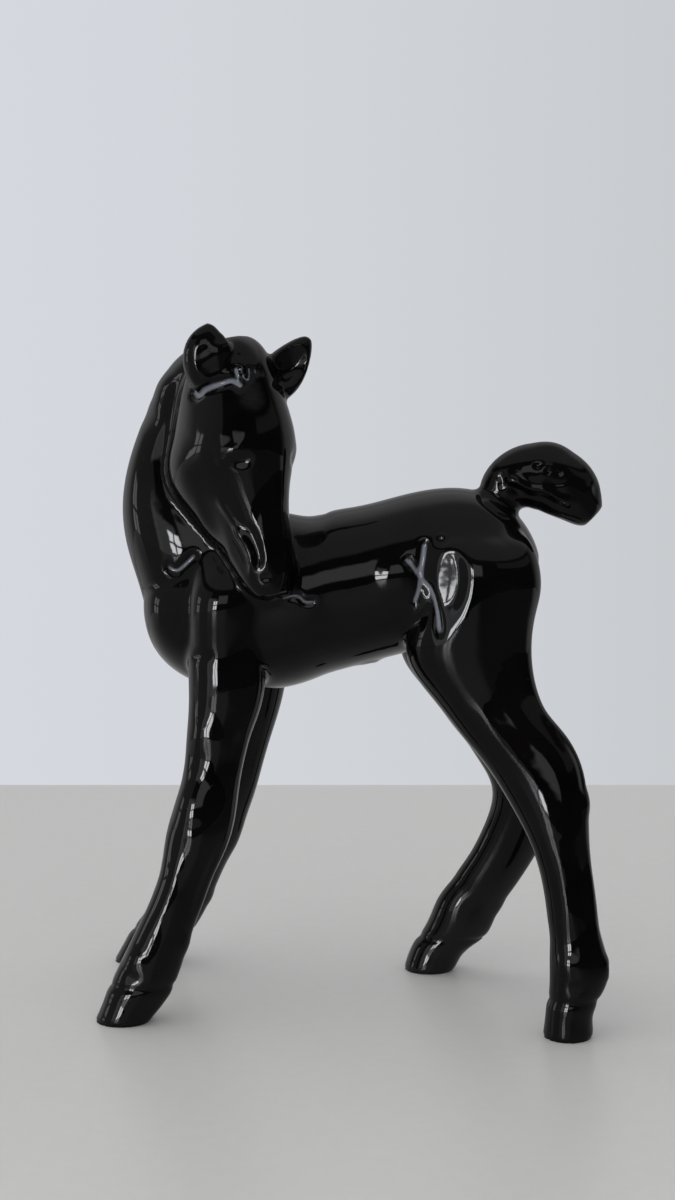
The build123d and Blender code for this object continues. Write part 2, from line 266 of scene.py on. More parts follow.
class Clay:
    """The figure's surface while it is modelled, in millimetres."""

    def __init__(self, mesh, spacing):
        count = len(mesh.vertices)
        self.spacing = spacing
        self.at = self.read(mesh.vertices, "co", count * 3, float).reshape(-1, 3) / MM
        self.first, self.second = self.read(mesh.edges, "vertices", len(mesh.edges) * 2, int).reshape(-1, 2).T
        self.corners = self.read(mesh.loops, "vertex_index", len(mesh.loops), int).reshape(-1, 4)
        # How strongly a pale highlight is painted into the glaze at each point
        self.pool = np.zeros(count)
        self.neighbours = np.bincount(self.first, minlength=count) + np.bincount(self.second, minlength=count)

    @staticmethod
    def read(items, name, length, kind):
        values = np.empty(length, kind)
        items.foreach_get(name, values)
        return values

    def store(self, mesh):
        mesh.vertices.foreach_set("co", (self.at * MM).ravel())
        mesh.update()

    def around(self, values):
        """The mean of each point's neighbours."""
        count = len(values)
        mean = np.empty_like(values)
        for axis in range(values.shape[1]):
            mean[:, axis] = np.bincount(self.first, values[self.second, axis], count)
            mean[:, axis] += np.bincount(self.second, values[self.first, axis], count)
        return mean / self.neighbours[:, None]

    def facing(self):
        """Which way each point of the surface faces."""
        place = self.at[self.corners]
        cross = np.cross(place[:, 2] - place[:, 0], place[:, 3] - place[:, 1])
        facing = np.zeros_like(self.at)
        for corner in range(4):
            for axis in range(3):
                facing[:, axis] += np.bincount(self.corners[:, corner], cross[:, axis], len(self.at))
        return facing / np.maximum(np.linalg.norm(facing, axis=1), 1e-12)[:, None]

    def fill_hollows(self, rounds, sharpest, where):
        """Lets slip fill the hollow corners, as far as the weights say, and leaves raised ones almost alone."""
        for _ in range(rounds):
            facing = self.facing()
            pull = self.around(self.at) - self.at
            hollow = (pull * facing).sum(1)
            give = np.clip((hollow - sharpest) / sharpest, 0.0, 1.0)
            along = pull - hollow[:, None] * facing
            self.at += 0.5 * (give * where)[:, None] * hollow[:, None] * facing + 0.3 * along

    def relax(self, rounds, strength=0.5, where=None):
        """Smooths the surface and then gives back what smoothing shrank."""
        weight = strength if where is None else strength * where[:, None]
        for _ in range(rounds):
            self.at += weight * (self.around(self.at) - self.at)
            self.at -= 1.04 * weight * (self.around(self.at) - self.at)

    def soften(self, width, where):
        """Smooths away what is narrower than a width, as far as the weights say."""
        for _ in range(int((width / self.spacing) ** 2)):
            self.at += 0.5 * where[:, None] * (self.around(self.at) - self.at)

    def reach(self, centre, radii, axes=FIGURE_AXES):
        """1 at a centre, falling smoothly to 0 at these radii along these axes."""
        offset = (self.at - np.array(centre)) @ np.array([tuple(axis) for axis in axes]).T
        return np.clip(1.0 - ((offset / np.array(radii)) ** 2).sum(1), 0.0, None) ** 2

    def patch(self, centre, radii, breadth=2.0, axes=FIGURE_AXES):
        """The same with a flat top, which is wider where breadth is larger."""
        return np.minimum(breadth * self.reach(centre, radii, axes), 1.0)

    def nearest(self, place):
        """The surface's point nearest to a place."""
        return self.at[((self.at - np.array(place)) ** 2).sum(axis=1).argmin()]

    def dab(self, centre, radii, lift, axes=FIGURE_AXES, toward=None):
        """Raises the surface round a centre, or sinks it where lift is negative."""
        strength = self.reach(centre, radii, axes)
        way = self.facing() if toward is None else np.array(toward)
        self.at += lift * strength[:, None] * way

    def press(self, centre, radii, way, strength=1.0):
        """Presses the surface round a centre to a flat that faces one way."""
        way = np.array(way) / np.linalg.norm(way)
        weight = strength * self.patch(centre, radii, 1.6)
        self.at -= (weight * ((self.at - np.array(centre)) @ way))[:, None] * way

    def line(self, points, width, lift, fade=0.35, toward=None, pool=0.0):
        """Raises a ridge along a smooth line through points, or sinks a groove. A pale highlight may be painted
        into the glaze along it, and its points are then laid on the surface first."""
        if pool:
            points = [self.nearest(point) for point in points]
        path = smooth_path(points)
        near = np.full(len(self.at), np.inf)
        along = np.zeros(len(self.at))
        low = path.min(0) - 4 * width
        high = path.max(0) + 4 * width
        inside = np.where(((self.at > low) & (self.at < high)).all(1))[0]
        place = self.at[inside]
        for index in range(len(path) - 1):
            step = path[index + 1] - path[index]
            part = np.clip(((place - path[index]) @ step) / (step @ step), 0.0, 1.0)
            distance = np.linalg.norm(place - path[index] - part[:, None] * step, axis=1)
            closer = distance < near[inside]
            near[inside[closer]] = distance[closer]
            along[inside[closer]] = (index + part[closer]) / (len(path) - 1)
        ends = np.clip(np.minimum(along, 1.0 - along) / max(fade, 1e-6), 0.0, 1.0)
        strength = np.exp(-((near / width) ** 2)) * ends * ends * (3.0 - 2.0 * ends)
        way = self.facing() if toward is None else np.array(toward)
        self.at += lift * strength[:, None] * way
        # Painted highlight: the groove's glaze gets a pale colour, strongest along its middle
        if pool:
            self.pool = np.maximum(self.pool, pool * strength**2)


def joined_regions(edges, count):
    """Numbers the points so that those which edges join, directly or through others, have one number."""
    region = np.arange(count)
    while True:
        lower = np.minimum(region[edges[:, 0]], region[edges[:, 1]])
        before = region.copy()
        np.minimum.at(region, edges[:, 0], lower)
        np.minimum.at(region, edges[:, 1], lower)
        region = region[region]
        if (region == before).all():
            return region


def smooth_path(points, steps=6):
    """A smooth line through a few points."""
    knots = [np.array(tuple(point), float) for point in points]
    knots = [2 * knots[0] - knots[1]] + knots + [2 * knots[-1] - knots[-2]]
    path = []
    for index in range(1, len(knots) - 2):
        before, here, there, after = knots[index - 1 : index + 3]
        for step in range(steps):
            t = step / steps
            path.append(
                0.5
                * (
                    2 * here
                    + (there - before) * t
                    + (2 * before - 5 * here + 4 * there - after) * t**2
                    + (3 * here - before - 3 * there + after) * t**3
                )
            )
    path.append(knots[-2])
    return np.array(path)


def lute_castings(grain):
    """The castings joined into one closed surface, with the vent stopped and the inner shell left out."""
    joined = bmesh.new()
    for name in CASTINGS:
        joined.from_mesh(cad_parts[name].data)
    bmesh.ops.remove_doubles(joined, verts=joined.verts, dist=SAME_POINT)
    inner, outer = PLUG_SEAT
    seat = [vert.co.z for vert in joined.verts if inner < (vert.co - VENT).xy.length < outer and vert.co.z > LEGS_BELOW]
    plug = bmesh.ops.create_cone(
        joined, cap_ends=True, segments=24, radius1=PLUG_RADIUS, radius2=PLUG_RADIUS, depth=PLUG_DEPTH
    )
    bmesh.ops.translate(joined, verts=plug["verts"], vec=(VENT.x, VENT.y, min(seat) + PLUG_RISE))
    mesh = bpy.data.meshes.new("luted")
    joined.to_mesh(mesh)
    joined.free()
    luted = bpy.data.objects.new("luted", mesh)
    bpy.context.scene.collection.objects.link(luted)
    remesh = luted.modifiers.new("Luting", "REMESH")
    remesh.mode = "VOXEL"
    remesh.voxel_size = grain
    remesh.adaptivity = 0.0
    bpy.context.view_layer.update()
    whole = bpy.data.meshes.new_from_object(luted.evaluated_get(bpy.context.evaluated_depsgraph_get()))
    bpy.data.objects.remove(luted)
    bpy.data.meshes.remove(mesh)
    keep_outside(whole)
    return whole


def keep_outside(mesh):
    """Leaves only the largest closed surface of a mesh."""
    edges = Clay.read(mesh.edges, "vertices", len(mesh.edges) * 2, int).reshape(-1, 2)
    shell = joined_regions(edges, len(mesh.vertices))
    outside = np.bincount(shell).argmax()
    surface = bmesh.new()
    surface.from_mesh(mesh)
    surface.verts.ensure_lookup_table()
    inner = [surface.verts[index] for index in np.where(shell != outside)[0]]
    bmesh.ops.delete(surface, geom=inner, context="VERTS")
    surface.to_mesh(mesh)
    surface.free()


def model_head(clay):
    """The face, on both sides: simple planes, with a crest from under the eye to the nostril."""
    clay.soften(7.0, clay.patch(on_head(21.0, 4.5, 5.0), (13.0, 9.0, 11.0), 1.5, HEAD_AXES))
    for side in (1, -1):

        def face(*places):
            return [on_head(down, forward, across * side) for down, forward, across in places]

        # Brow over a shallow socket, with the eye's outer corner below its end
        clay.line(face((30.6, -3.0, 13.4), (31.8, 0.0, 11.9), (32.0, 3.0, 9.8), (31.6, 5.4, 7.6)), 1.5, 0.55)
        clay.dab(on_head(35.0, 4.0, 8.8 * side), (2.8, 4.4, 4.0), -0.95, HEAD_AXES)
        clay.dab(on_head(34.0, -0.6, 11.8 * side), (1.9, 2.6, 3.0), 0.5, HEAD_AXES)
        # Jowl, with a shallow hollow before it
        clay.dab(on_head(33.0, -20.0, 13.5 * side), (13.0, 13.0, 8.0), 1.0, HEAD_AXES)
        clay.dab(on_head(50.0, -12.0, 9.5 * side), (12.0, 5.5, 7.0), -0.5, HEAD_AXES)
        # Crest, steep on its front side, and the channel between it and the nasal bone
        clay.line(face((41.5, -7.4, 11.2), (45.6, -5.8, 10.2), (50.6, -4.2, 8.9), (55.0, -2.6, 7.8)), 1.3, 0.6)
        crest = face((50.0, -4.4, 9.0), (53.8, -3.0, 8.1), (57.0, -1.8, 7.4), (61.3, -1.2, 6.9), (66.0, -3.0, 6.7))
        clay.line(crest, 1.1, 1.0, fade=0.25, pool=0.25)
        beside = face((50.0, -1.0, 7.8), (55.0, 0.4, 6.6), (60.0, 0.9, 6.0), (64.5, 0.0, 5.8))
        clay.line(beside, 1.2, -0.8, fade=0.3)
        clay.line(face((50.0, 2.4, 5.2), (56.0, 2.9, 4.7), (61.0, 2.8, 4.4), (65.0, 1.6, 4.5)), 1.2, 0.4)
        # Nostril and lip
        clay.dab(on_head(66.2, 1.0, 4.6 * side), (1.6, 2.2, 2.2), -0.5, HEAD_AXES)
        mouth = face((71.4, -3.6, 0.4), (70.4, -5.2, 3.0), (68.2, -7.0, 4.9), (65.4, -8.6, 5.9))
        clay.line(mouth, 0.55, -0.4, fade=0.12)
    # Near side of the nose and far brow smoothed, then the nose bridge and chin
    clay.soften(3.0, clay.patch(on_head(42.0, 3.5, 4.0), (10.0, 6.0, 6.0), 1.5, HEAD_AXES))
    clay.soften(3.0, clay.patch(on_head(32.5, 1.0, -11.0), (8.0, 9.0, 7.0), 1.5, HEAD_AXES))
    clay.line([on_head(44.0, 5.6, 0.0), on_head(52.0, 4.6, 0.0), on_head(60.0, 4.0, 0.0)], 2.4, 0.45)
    clay.dab(on_head(67.0, -9.0, 0.0), (4.0, 3.0, 5.0), 0.5, HEAD_AXES)


def model_ears(clay):
    """The cups of the ears, the crease in front of them and the forelock."""

    def over_head(*places):
        return [on_head(*place) for place in places]

    # The nape, the hollow below it, and a dent at the near ear's root
    clay.dab((-48.5, -4.0, 173.0), (6.0, 9.0, 6.0), 0.7)
    clay.dab((-53.5, -3.0, 164.5), (5.0, 9.0, 5.0), -0.6)
    clay.dab((-24.9, -21.0, 181.2), (1.2, 2.5, 1.2), -0.5)
    # Each cup, and the inner edge of the near ear
    near_cup = (Vector((0.80, 0.0, 0.60)), Vector((0.0, 1.0, 0.0)), Vector((-0.60, 0.0, 0.80)))
    clay.dab((-32.2, -22.0, 180.4), (7.4, 7.0, 4.6), 1.1, near_cup, toward=(-0.1, -0.99, 0.0))
    clay.dab((-29.4, -21.8, 184.6), (3.8, 4.2, 5.6), 2.0, toward=(0.95, -0.15, 0.2))
    clay.relax(16, where=clay.patch((-32.0, -22.5, 182.0), (10.0, 7.0, 10.0)))
    far_cup = (Vector((0.66, 0.1, 0.74)), Vector((0.0, 1.0, 0.0)), Vector((0.74, 0.0, -0.66)))
    clay.dab((-12.4, -12.5, 178.2), (7.5, 5.0, 2.8), 1.2, far_cup, toward=(-0.2, 0.95, -0.1))
    # The crease, its branch up to the forelock, and its weaker end on the far side
    # The crease, its branch, the curl and the first strand have a pale highlight painted into their glaze
    crease = over_head((12.0, -9.6, 12.5), (14.7, -7.0, 12.0), (13.9, -4.0, 11.2), (13.4, 0.4, 9.4))
    crease += over_head((13.2, 3.5, 7.6), (15.8, 5.2, 5.2))
    clay.line(crease, 1.15, -1.3, fade=0.08, pool=1.0)
    clay.line(over_head((14.4, 4.4, 6.8), (11.6, 4.3, 6.6), (8.6, 3.8, 6.2)), 0.9, -0.9, fade=0.2, pool=1.0)
    clay.line(over_head((15.6, 6.6, -2.0), (14.5, 5.4, -6.4), (13.5, 2.5, -9.2)), 1.0, -0.8)
    # Forelock: a small curl between the ears, with strands beside it
    curl = over_head((9.2, 4.6, 5.3), (12.6, 5.4, 5.4), (13.4, 5.9, 4.3), (11.6, 6.2, 3.3), (9.6, 5.8, 3.0))
    clay.line(curl, 0.45, -0.5, fade=0.1, pool=0.8)
    clay.line(over_head((9.8, 6.3, 1.8), (12.4, 6.9, 1.6)), 0.45, -0.4, pool=0.8)
    clay.line(over_head((9.0, 6.4, -0.2), (13.0, 7.2, -0.6)), 0.6, -0.35)


def model_body(clay):
    """Shoulders, haunches and the folds of the trunk."""
    for side in (-1, 1):

        def flank(*places):
            return [(x, y * side, z) for x, y, z in places]

        # Shoulder, and the fold over it
        clay.dab((-32.0, 20.0 * side, 112.0), (11.0, 8.0, 14.0), 1.2)
        fold = flank((-47.6, 11.6, 124.6), (-44.6, 13.0, 122.8), (-41.6, 13.6, 124.6), (-37.6, 13.4, 128.4))
        # A pale highlight is painted into the fold's glaze
        clay.line(fold, 1.1, -1.3, fade=0.15, pool=0.8)
        clay.line(flank((-39.8, 17.3, 98.8), (-36.0, 21.0, 100.6), (-31.5, 22.2, 99.6)), 1.2, -0.45)
        # Haunch, and the web of folds where it meets the flank
        clay.soften(6.0, clay.patch((38.0, 15.0 * side, 133.0), (19.0, 13.0, 12.0)))
        clay.soften(4.0, clay.patch((24.0, 18.0 * side, 119.0), (9.0, 8.0, 15.0)))
        clay.dab((38.0, 20.0 * side, 120.0), (13.0, 8.0, 20.0), 1.1)
        clay.dab((32.5, 20.5 * side, 120.0), (6.5, 6.0, 15.0), 1.1)
        clay.dab((17.0, 18.4 * side, 121.5), (7.0, 8.0, 8.0), 0.7)
        clay.press((31.4, 21.0 * side, 121.0), (7.5, 7.0, 16.0), (-0.15, side * 0.98, 0.10), 0.92)
        # A pale highlight is painted into the glaze of the web and its two branches
        web = flank((24.5, 17.4, 133.0), (24.4, 18.2, 127.5), (23.8, 17.8, 122.2), (26.4, 18.6, 118.5))
        web += flank((28.4, 20.4, 113.0), (29.2, 22.6, 104.5))
        clay.line(web, 1.2, -0.9, fade=0.1, pool=1.0)
        upper = flank((18.8, 18.2, 127.4), (21.2, 17.8, 124.9), (23.6, 17.8, 122.0))
        clay.line(upper, 1.0, -0.8, fade=0.15, pool=0.9)
        lower = flank((23.8, 17.8, 122.0), (22.9, 18.0, 118.6), (21.4, 17.2, 114.2))
        clay.line(lower, 1.0, -0.6, fade=0.15, pool=0.9)
    # Where the muzzle is luted to the near flank
    # A pale highlight is painted into the crease's glaze
    muzzle = [(-15.0, -20.5, 115.6), (-10.0, -19.9, 116.6), (-7.5, -19.8, 115.2), (-4.5, -19.7, 115.4)]
    clay.line(muzzle, 0.8, -0.6, fade=0.12, pool=0.8)


def model_beads(clay):
    """A bead of glaze in a ring at the point of each hip."""
    for side in (-1, 1):
        clay.dab((29.3, 18.5 * side, 133.0), (2.9, 5.0, 2.9), -0.6)
        clay.dab((29.3, 18.5 * side, 133.0), (1.9, 5.0, 1.9), 1.5)


def work_by_hand(clay):
    """Leaves the slight unevenness of a hand-finished casting."""
    x, y, z = clay.at.T
    along = np.sin(x / 6.1 + 0.9 * np.sin(z / 11.0)) * np.sin(z / 7.3 + 0.8)
    across = np.sin(y / 5.3 + x / 9.7) * np.sin(z / 9.1)
    clay.at += 0.06 * (along + across)[:, None] * clay.facing()


def model_tail(clay):
    """The crease round the tail's root, the edge along its side, and the curl near its top."""
    clay.dab((59.0, 0.0, 157.0), (7.0, 6.0, 5.0), 0.6)
    for side in (-1, 1):

        def along(*places):
            return [(x, y * side, z) for x, y, z in places]

        root = along((39.4, 1.0, 143.4), (39.8, 7.6, 142.0), (44.6, 9.4, 138.4), (48.5, 6.0, 134.5))
        clay.line(root, 1.0, -1.0, fade=0.15)
        clay.line(along((44.4, 4.4, 150.0), (45.2, 5.6, 147.4), (44.2, 6.4, 145.0)), 0.9, -0.6, fade=0.3)
        edge = along((45.4, 5.6, 148.6), (49.0, 6.2, 147.4), (52.6, 6.7, 145.4), (56.8, 6.3, 144.8))
        edge += along((60.4, 5.7, 142.8), (65.6, 4.9, 142.0))
        clay.line(edge, 1.0, 0.95, fade=0.15)
        clay.line([(x, y, z - 2.3) for x, y, z in edge], 1.3, -0.9, fade=0.2)
        # A curl: a pit in a ring, with a dent each side and a groove below
        clay.dab((57.4, 6.6 * side, 150.4), (2.3, 3.5, 2.1), 0.55)
        clay.dab((57.4, 6.9 * side, 150.4), (1.35, 3.5, 1.2), -1.3)
        clay.dab((54.6, 6.6 * side, 151.8), (1.7, 3.5, 1.3), -0.45)
        clay.dab((60.0, 6.4 * side, 149.8), (2.1, 3.5, 1.2), -0.4)
        clay.line(along((56.0, 6.6, 148.0), (60.0, 6.4, 147.0), (63.8, 5.6, 148.0)), 0.6, -0.4)
        # The cut end
        clay.line(along((68.4, 4.8, 147.4), (68.9, 4.4, 144.0), (70.4, 3.2, 141.2)), 0.7, 0.45, fade=0.3)
        clay.dab((70.8, 3.2 * side, 144.6), (1.8, 2.4, 3.0), -0.6)
    clay.soften(3.0, clay.patch((70.0, 0.0, 142.0), (6.0, 8.0, 6.0), 1.6))


def on_leg(clay, name, height, bearing):
    """A place on a leg's skin. Bearings turn from its outer side, and are positive towards the tail."""
    low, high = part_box(name)
    place = clay.at
    slab = np.abs(place[:, 2] - height) < 0.7
    slab &= (place[:, 0] > low.x / MM - 2) & (place[:, 0] < high.x / MM + 2)
    slab &= (place[:, 1] > low.y / MM - 2) & (place[:, 1] < high.y / MM + 2)
    ring = place[slab]
    outer = -1.0 if name.startswith("near") else 1.0
    way = np.array((math.sin(math.radians(bearing)), outer * math.cos(math.radians(bearing)), 0.0))
    return ring[(ring @ way).argmax()]


def model_legs(clay):
    """Knees, hocks, fetlocks, and the tendons between them."""
    for name in ("near_foreleg", "far_foreleg", "near_hind_leg", "far_hind_leg"):

        def leg(bearing, *heights):
            return [on_leg(clay, name, height, bearing) for height in heights]

        if name.endswith("foreleg"):
            clay.dab(leg(-25, 61)[0], (7.5, 7.5, 8.5), 0.7)
            clay.dab(leg(-20, 74)[0], (6.5, 6.5, 6.5), -0.3)
            clay.dab(leg(-20, 48)[0], (6.5, 6.5, 6.5), -0.25)
            clay.line(leg(-25, 86, 79, 72), 2.2, 0.25)
            clay.line(leg(35, 80, 73, 66), 1.6, -0.4)
            clay.line(leg(-15, 52, 38, 25), 2.0, 0.3)
            clay.line(leg(45, 52, 39, 26), 1.6, -0.5)
            clay.dab(leg(60, 21)[0], (5.0, 5.0, 4.5), 0.5)
            clay.dab(leg(-30, 19)[0], (4.5, 4.5, 4.0), 0.4)
            clay.dab(leg(-10, 13.5)[0], (4.0, 4.0, 2.5), -0.35)
        else:
            clay.line(leg(-8, 90, 78, 66), 2.2, 0.4)
            clay.line(leg(48, 84, 76, 68, 61), 1.9, -0.9)
            clay.dab(leg(85, 63)[0], (5.0, 5.0, 5.0), 0.5)
            clay.line(leg(-5, 55, 40, 26), 2.0, 0.3)
            clay.line(leg(38, 56, 41, 26), 1.6, -0.55)
            clay.dab(leg(80, 20)[0], (4.5, 4.5, 4.5), 0.5)
            clay.dab(leg(-20, 21)[0], (4.5, 4.5, 4.0), 0.35)
            clay.dab(leg(0, 14.5)[0], (4.0, 4.0, 2.5), -0.35)


def model_hooves(clay):
    """The step from the pastern to the hoof, and the rounded edge round each sole."""
    height = clay.at[:, 2]
    facing = clay.facing()
    level = facing[:, 2] > -0.7
    step = 0.15 * np.exp(-(((height - 7.9) / 1.6) ** 2)) - 0.3 * np.exp(-(((height - 10.4) / 0.9) ** 2))
    clay.at += (step * level)[:, None] * facing
    edge = np.clip(1.0 - height / 1.1, 0.0, 1.0) ** 2 * level
    inward = facing.copy()
    inward[:, 2] = 0.0
    clay.at -= 0.75 * edge[:, None] * inward


def open_vent(clay, radius):
    """Smooths the belly and sinks the vent into it."""
    clay.soften(4.0, clay.patch((VENT.x / MM, 0.0, 96.5), (9.0, 8.0, 6.0)))
    away = np.hypot(clay.at[:, 0] - VENT.x / MM, clay.at[:, 1] - VENT.y / MM)
    under = (clay.at[:, 2] > 90.0) & (clay.at[:, 2] < 104.0)
    depth = np.clip((radius / MM + 0.25 - away) / 0.5, 0.0, 1.0)
    clay.at[:, 2] += 4.5 * depth * depth * (3.0 - 2.0 * depth) * under


# ---------------------------------------------------------------- castings


def nearness(mesh):
    """How far each point of the figure is from each casting, in metres."""
    count = len(mesh.vertices)
    place = Clay.read(mesh.vertices, "co", count * 3, float).reshape(-1, 3)
    far = {}
    for name in CASTINGS:
        low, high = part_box(name)
        inside = (place > np.array(low) - CASTING_MARGIN) & (place < np.array(high) + CASTING_MARGIN)
        solid = bmesh.new()
        solid.from_mesh(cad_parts[name].data)
        bmesh.ops.remove_doubles(solid, verts=solid.verts, dist=SAME_POINT)
        tree = BVHTree.FromBMesh(solid)
        solid.free()
        distance = np.full(count, 1.0)
        for index in np.where(inside.all(1))[0]:
            distance[index] = tree.find_nearest(place[index])[3]
        far[name] = distance
    return np.array([far[name] for name in CASTINGS])


def tidy_owners(mesh, owner):
    """Gives each casting one unbroken region: scraps cut off from it go to the casting round them."""
    edges = Clay.read(mesh.edges, "vertices", len(mesh.edges) * 2, int).reshape(-1, 2)
    for _ in range(3):
        region = joined_regions(edges[owner[edges[:, 0]] == owner[edges[:, 1]]], len(owner))
        size = np.bincount(region, minlength=len(owner))
        main = [region[owner == each][size[region[owner == each]].argmax()] for each in range(len(CASTINGS))]
        stray = np.where(region != np.array(main)[owner])[0]
        if not len(stray):
            break
        astray = np.zeros(len(owner), bool)
        astray[stray] = True
        while astray.any():
            for first, second in (edges.T, edges.T[::-1]):
                border = astray[first] & ~astray[second]
                owner[first[border]] = owner[second[border]]
                astray[first[border]] = False
    return owner


def part_figure(mesh):
    """Cuts the figure's faces along the lines that are equally near two castings, and marks each with its casting."""
    far = nearness(mesh)
    owner = tidy_owners(mesh, far.argmin(0))
    figure = bmesh.new()
    figure.from_mesh(mesh)
    casting = figure.faces.layers.int.new("casting")
    figure.verts.ensure_lookup_table()
    on_line = set()
    crossed = [edge for edge in figure.edges if owner[edge.verts[0].index] != owner[edge.verts[1].index]]
    owners = {vert: owner[vert.index] for vert in figure.verts}
    touched = set()
    for edge in crossed:
        first, second = edge.verts
        here, there = owners[first], owners[second]
        start = far[there, first.index] - far[here, first.index]
        end = far[here, second.index] - far[there, second.index]
        share = min(max(start / max(start + end, 1e-12), CUT_RANGE[0]), CUT_RANGE[1])
        touched.update(edge.link_faces)
        _, cut = bmesh.utils.edge_split(edge, first, share)
        on_line.add(cut)
    for face in touched:
        if not face.is_valid:
            continue
        cuts = [vert for vert in face.verts if vert in on_line]
        if len(cuts) == 2:
            bmesh.utils.face_split(face, cuts[0], cuts[1])
    for face in figure.faces:
        votes = [owners[vert] for vert in face.verts if vert not in on_line]
        face[casting] = int(max(set(votes), key=votes.count)) if votes else -1
    figure.to_mesh(mesh)
    figure.free()


def take_casting(name, materials):
    """One casting out of the parted figure, closed where it was luted."""
    source = bpy.data.objects[CLAY].data
    number = CASTINGS.index(name)
    piece = bmesh.new()
    piece.from_mesh(source)
    casting = piece.faces.layers.int["casting"]
    normal = piece.verts.layers.float_vector["facing"]
    others = [face for face in piece.faces if face[casting] != number]
    bmesh.ops.delete(piece, geom=others, context="FACES")
    drop_crumbs(piece)
    skin = set(piece.faces)
    rim = [edge for edge in piece.edges if edge.is_boundary]
    wall = bmesh.ops.extrude_edge_only(piece, edges=rim)["geom"]
    for vert in wall:
        if isinstance(vert, bmesh.types.BMVert):
            vert.co -= Vector(vert[normal]) * LUTING_DEPTH
    bmesh.ops.holes_fill(piece, edges=[edge for edge in piece.edges if edge.is_boundary], sides=0)
    caps = [face for face in piece.faces if face not in skin]
    if not caps:
        raise RuntimeError(f"{name} has no luting face")
    bmesh.ops.poke(piece, faces=[face for face in caps if len(face.verts) > 4])
    capped = {face for face in piece.faces if face not in skin}
    bmesh.ops.recalc_face_normals(piece, faces=piece.faces)
    way = []
    for face in piece.faces:
        face.smooth = True
        cap = face in capped
        sole = not cap and face.normal.z < -0.9 and face.calc_center_median().z < LOWEST.z + 0.0002
        face.material_index = 1 if cap or sole else 0
        for vert in face.verts:
            way.append(tuple(face.normal) if cap else tuple(vert[normal]))
    mesh = bpy.data.meshes.new(name + "_cast")
    piece.to_mesh(mesh)
    piece.free()
    mesh.normals_split_custom_set(way)
    for material in materials:
        mesh.materials.append(material)
    cast = bpy.data.objects.new(name + "_cast", mesh)
    bpy.context.scene.collection.objects.link(cast)
    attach(cast, "root")
    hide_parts(name)
    return cast


def drop_crumbs(piece):
    """Deletes the loose scraps of surface that parting leaves, and keeps the largest."""
    unseen = set(piece.faces)
    scraps = []
    while unseen:
        stack = [unseen.pop()]
        scrap = []
        while stack:
            face = stack.pop()
            scrap.append(face)
            for edge in face.edges:
                for other in edge.link_faces:
                    if other in unseen:
                        unseen.remove(other)
                        stack.append(other)
        scraps.append(scrap)
    scraps.sort(key=len)
    for scrap in scraps[:-1]:
        bmesh.ops.delete(piece, geom=scrap, context="FACES")


# ---------------------------------------------------------------- finishes


def glaze_material():
    """Black glaze: deep, glossy, slightly uneven where it has run, and with a pale highlight painted into the folds."""
    looks = bpy.context.scene.foal_glaze
    material = bpy.data.materials.get("black_glaze")
    if material:
        return material
    material = bpy.data.materials.new("black_glaze")
    material.use_nodes = True
    tree = Tree(material.node_tree)
    place = tree.node("ShaderNodeTexCoord").out("Object")

    def noise(scale, detail, roughness=0.5):
        values = {"Vector": place, "Scale": scale, "Detail": detail, "Roughness": roughness}
        return tree.node("ShaderNodeTexNoise", None, values).out(0)

    thick = tree.smooth_step(noise(55.0, 3.0), 0.42, 0.72)
    specks = tree.node("ShaderNodeTexVoronoi", None, {"Vector": place, "Scale": 420.0}).out("Distance")
    pinhole = (1.0 - tree.smooth_step(specks, 0.035, 0.075)) * tree.smooth_step(noise(90.0, 1.0), 0.6, 0.68)
    dust = tree.smooth_step(noise(900.0, 2.0, 0.6), 0.66, 0.8) * tree.smooth_step(noise(34.0, 2.0), 0.5, 0.72)
    colour = tree.mixed(thick, opaque(looks.thin_glaze), opaque(looks.glaze))
    colour = tree.mixed(dust * 0.12, colour, (0.20, 0.20, 0.20, 1.0))
    # Painted highlight: where the weight is high, the glaze's colour is mixed towards a pale colour
    pool = tree.node("ShaderNodeAttribute", {"attribute_name": "pool"}).out("Fac")
    colour = tree.mixed(tree.smooth_step(pool, 0.30, 1.0), colour, opaque(looks.fold_highlight_colour))
    rough = looks.roughness + 0.03 * noise(140.0, 2.0) + 0.10 * dust + 0.25 * pinhole
    ripple = noise(260.0, 1.5) + 0.35 * noise(90.0, 1.0)
    peel = tree.node("ShaderNodeBump", None, {"Strength": 0.10, "Distance": 0.0002, "Height": ripple}).out()
    pits = {"Strength": 0.5, "Distance": 0.00015, "Height": 1.0 - pinhole, "Normal": peel}
    bump = tree.node("ShaderNodeBump", None, pits).out()
    values = {"Base Color": colour, "Roughness": rough, "IOR": 1.5, "Normal": bump}
    shader = tree.node("ShaderNodeBsdfPrincipled", None, values)
    tree.node("ShaderNodeOutputMaterial", None, {"Surface": shader.out()})
    return material


def clay_material():
    """Bare fired clay, where the castings are luted and under the hooves."""
    looks = bpy.context.scene.foal_glaze
    material = bpy.data.materials.get("bare_clay")
    if material:
        return material
    material = bpy.data.materials.new("bare_clay")
    material.use_nodes = True
    tree = Tree(material.node_tree)
    place = tree.node("ShaderNodeTexCoord").out("Object")
    grit = tree.node("ShaderNodeTexNoise", None, {"Vector": place, "Scale": 1600.0, "Detail": 4.0}).out(0)
    stain = tree.node("ShaderNodeTexNoise", None, {"Vector": place, "Scale": 160.0, "Detail": 3.0}).out(0)
    colour = tree.mixed(tree.smooth_step(stain, 0.4, 0.7), opaque(looks.bare_clay), opaque(looks.bare_clay, 0.72))
    bump = tree.node("ShaderNodeBump", None, {"Strength": 0.4, "Distance": 0.0001, "Height": grit}).out()
    values = {"Base Color": colour, "Roughness": 0.75 + 0.2 * grit, "Normal": bump}
    shader = tree.node("ShaderNodeBsdfPrincipled", None, values)
    tree.node("ShaderNodeOutputMaterial", None, {"Surface": shader.out()})
    return material


def finishes():
    """The two finishes of every casting, in the order of its material slots."""
    return glaze_material(), clay_material()


# ---------------------------------------------------------------- operators


